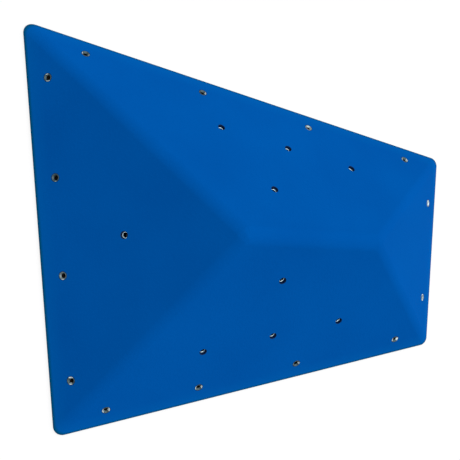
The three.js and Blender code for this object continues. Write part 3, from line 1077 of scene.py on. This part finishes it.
screw_metal = metal("screw_steel", (0.64, 0.55, 0.32), 0.28, 0.0003, 0.00002, (0.55, 0.42, 0.22))
crown = SCREW_SEAT - SCREW_HEAD_HEIGHT
screw_profile = [
    (0, crown),
    *((SCREW_HEAD_RADIUS * share, crown + height)
      for share, height in zip(DOME_WIDTH_SHARES, DOME_HEIGHTS)),
    (SCREW_HEAD_RADIUS, SCREW_SEAT),
    (SCREW_SHANK_RADIUS, SCREW_SEAT),
    (SCREW_SHANK_RADIUS, SCREW_TIP - SCREW_TIP_LENGTH),
    (0, SCREW_TIP),
]
screw = piece_from(turned(screw_profile, SCREW_SIDES), "screw_pattern", screw_metal)
softened(screw, SCREW_BREAK * MM, segments=2)
blade_size = (CROSS_LENGTH * MM, CROSS_WIDTH * MM, (CROSS_DEPTH + CROSS_OVERRUN) * MM, 1)
blade_middle = (crown + (CROSS_DEPTH - CROSS_OVERRUN) / 2) * MM
for turn in (0, pi / 2):
    blade = bmesh.new()
    corners = bmesh.ops.create_cube(
        blade, size=1.0,
        matrix=Matrix.Rotation(turn, 4, "Z") @ Matrix.Translation((0, 0, blade_middle))
        @ Matrix.Diagonal(blade_size),
    )["verts"]
    tip = sorted(corners, key=lambda vert: -vert.co.z)[:4]
    bmesh.ops.scale(blade, vec=(CROSS_TAPER, CROSS_TAPER, 1), verts=tip)
    carved(screw, piece_from(blade, "blade"))
smooth(screw)
for node in nodes_of("screw"):
    set_in_place(screw, "screw_" + label_of(node), place_of(node), node)
bpy.data.objects.remove(screw)
print("screws:", len(nodes_of("screw")))

# %% [markdown]
# ## Battens
#
# Four lengths of planed timber run inside the rim, mitred at the corners and planed to
# the shell's slope, and the wall screws pull against them. The frame already has that
# exact shape, mitres, slopes and drill holes. So a copy of its mesh is taken, its loose
# triangles are merged into clean faces, and the arrises are eased as a plane would.
# A wider bit has then relieved each drill hole's mouth, and the holes' faces are painted
# near black, as painted shade down the holes. Each copy also remembers its place with its
# length along X, so that the grain runs along the batten.

# %% Battens
RELIEF_RADIUS = 4.2
RELIEF_TOP = -4
RELIEF_BOTTOM = -9
ARRIS_EASE = 0.8
ARRIS_ANGLE = 50
SHADED_BORE_SLOT = 1

to_bushes = [place_of(node).inverted() for node in nodes_of("bush")]
for side, face in faces.items():
    node = "batten_" + side
    form = bmesh.new()
    form.from_mesh(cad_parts[node].data)
    bmesh.ops.remove_doubles(form, verts=form.verts, dist=LEVEL_REACH)
    bmesh.ops.dissolve_limit(
        form, angle_limit=radians(FLAT_ANGLE), verts=form.verts, edges=form.edges,
        use_dissolve_boundaries=False,
    )
    inward = Vector((0, 0, 1)).cross(face.along)
    to_bench = Matrix((face.along, inward, Vector((0, 0, 1)))).to_4x4()
    bench = form.verts.layers.float_vector.new("bench")
    for vert in form.verts:
        vert[bench] = to_bench @ vert.co
    batten = piece_from(form, "timber_" + side, timber, shaded_timber_bore)
    softened(batten, ARRIS_EASE * MM, segments=2, angle=ARRIS_ANGLE)
    finish_faces(batten, SHADED_BORE_SLOT, lambda spot: any(
        (move @ spot).xy.length < RELIEF_RADIUS * MM for move in to_bushes
    ))
    reliefs = together(
        stood(
            round_bar(RELIEF_RADIUS, RELIEF_BOTTOM, RELIEF_TOP),
            place_of(bush_node), SHADED_BORE_SLOT,
        )
        for bush_node in nodes_of("bush") if label_of(bush_node).startswith(side)
    )
    carved(batten, piece_from(reliefs, "reliefs", timber, shaded_timber_bore))
    smooth(batten)
    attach(batten, "root")
    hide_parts(node)
print("battens:", len(faces))

# %% [markdown]
# ## Floor and light
#
# The volume lies on a pale floor in soft light. The world gives even light from all
# round, and one large soft lamp, high on the right, makes each face a little different.
# Together they light a surface to about the colour that its material states.
#
# The background is white without any more light on the object. Light Path tells what kind
# of ray asks: camera rays see the world and most of the floor at full white, and glossy
# rays do too, so that metal mirrors it. The floor keeps a part of real shading, and with
# it the object's shadow. Seen from below it is clear, so the hollow back can be looked
# into. Under the hollow the floor has a gap, so that light reaches the back from below. A
# sheet in the gap looks dark from above, so the nuts' bores look black, as on a wall.

# %% World
AMBIENT = 0.455
KEY = 0.787
KEY_FROM = Vector((0.485, 0.125, 0.866))
KEY_SPREAD = 90


def looked_at(tree):
    """A mask for rays that show white itself: from the camera, a mirror or glass."""
    ray = add(tree, "LightPath").outputs
    return calc(tree, "MAXIMUM", ray["Is Camera Ray"],
                calc(tree, "MAXIMUM", ray["Is Glossy Ray"], ray["Is Transmission Ray"]))


bpy.context.scene.view_settings.view_transform = "Standard"
world = bpy.data.worlds.new("studio")
bpy.context.scene.world = world
world.use_nodes = True
tree = world.node_tree
tree.nodes.clear()
seen = looked_at(tree)
strength = spread(tree, seen, 0.0, 1.0, AMBIENT, 1.0)
sky = add(tree, "Background", {"Color": (1, 1, 1, 1), "Strength": strength})
end = tree.nodes.new("ShaderNodeOutputWorld")
tree.links.new(sky.outputs[0], end.inputs["Surface"])

# %% Key lamp
lamp = bpy.data.lights.new("key", "SUN")
lamp.energy = KEY * pi
lamp.angle = radians(KEY_SPREAD)
key = bpy.data.objects.new("key", lamp)
key.rotation_euler = KEY_FROM.to_track_quat("Z", "Y").to_euler()
bpy.context.scene.collection.objects.link(key)

# %% Floor
FLOOR_GLOW = 0.8
FLOOR_DROP = 0.0005
FLOOR_REACH = 8
SHADE_INSET = 0.02

floor_material, tree, output = new_material("pale_floor", (0.9, 0.9, 0.9))
seen = looked_at(tree)
grey = add(tree, "BsdfDiffuse", {"Color": (0.8, 0.8, 0.8, 1)})
faint = add(tree, "BsdfDiffuse", {"Color": (1 - FLOOR_GLOW, 1 - FLOOR_GLOW, 1 - FLOOR_GLOW, 1)})
glow = add(tree, "Emission", {"Color": (1, 1, 1, 1), "Strength": FLOOR_GLOW})
lit = add(tree, "AddShader", {0: faint.outputs[0], 1: glow.outputs[0]})
top = add(tree, "MixShader", {0: seen, 1: grey.outputs[0], 2: lit.outputs[0]})
clear = add(tree, "BsdfTransparent")
back = add(tree, "NewGeometry").outputs["Backfacing"]
both = add(tree, "MixShader", {0: back, 1: top.outputs[0], 2: clear.outputs[0]})
tree.links.new(both.outputs[0], output.inputs["Surface"])


def footprint(inset):
    """A flat sheet with the volume's outline on the wall, drawn inwards."""
    sheet = bmesh.new()
    bmesh.ops.create_grid(sheet, x_segments=1, y_segments=1, size=BLOCK / 2)
    for face in faces.values():
        outward = Vector((face.normal.x, face.normal.y, 0)).normalized()
        foot = face.point - face.rise * (face.point.z / face.rise.z)
        bmesh.ops.bisect_plane(
            sheet, geom=sheet.verts[:] + sheet.edges[:] + sheet.faces[:],
            plane_co=foot - outward * inset, plane_no=outward, clear_outer=True,
        )
    return sheet


def laid(form, name, material):
    """Lays a flat sheet just under the volume, face up, as part of the stage."""
    bmesh.ops.translate(form, vec=(0, 0, -FLOOR_DROP), verts=form.verts)
    bmesh.ops.recalc_face_normals(form, faces=form.faces)
    if sum(face.normal.z for face in form.faces) < 0:
        bmesh.ops.reverse_faces(form, faces=form.faces)
    sheet = piece_from(form, name, material)


ground = footprint(SHADE_INSET)
bmesh.ops.create_grid(ground, x_segments=1, y_segments=1, size=FLOOR_REACH)
bmesh.ops.delete(ground, geom=ground.faces[:], context="FACES_ONLY")
bmesh.ops.bridge_loops(ground, edges=ground.edges[:])
laid(ground, "floor", floor_material)

# %% The shade inside the hollow
shade_material, tree, output = new_material("hollow_shade", (0.02, 0.02, 0.02))
dark = add(tree, "BsdfDiffuse", {"Color": (0.004, 0.004, 0.004, 1)})
clear = add(tree, "BsdfTransparent")
back = add(tree, "NewGeometry").outputs["Backfacing"]
looked_into = calc(tree, "SUBTRACT", add(tree, "LightPath").outputs["Is Camera Ray"], back)
both = add(tree, "MixShader", {
    0: calc(tree, "MAXIMUM", looked_into, 0.0), 1: clear.outputs[0], 2: dark.outputs[0],
})
tree.links.new(both.outputs[0], output.inputs["Surface"])
laid(footprint(SHADE_INSET), "hollow_shade", shade_material)
print("lamps and floor are in place")
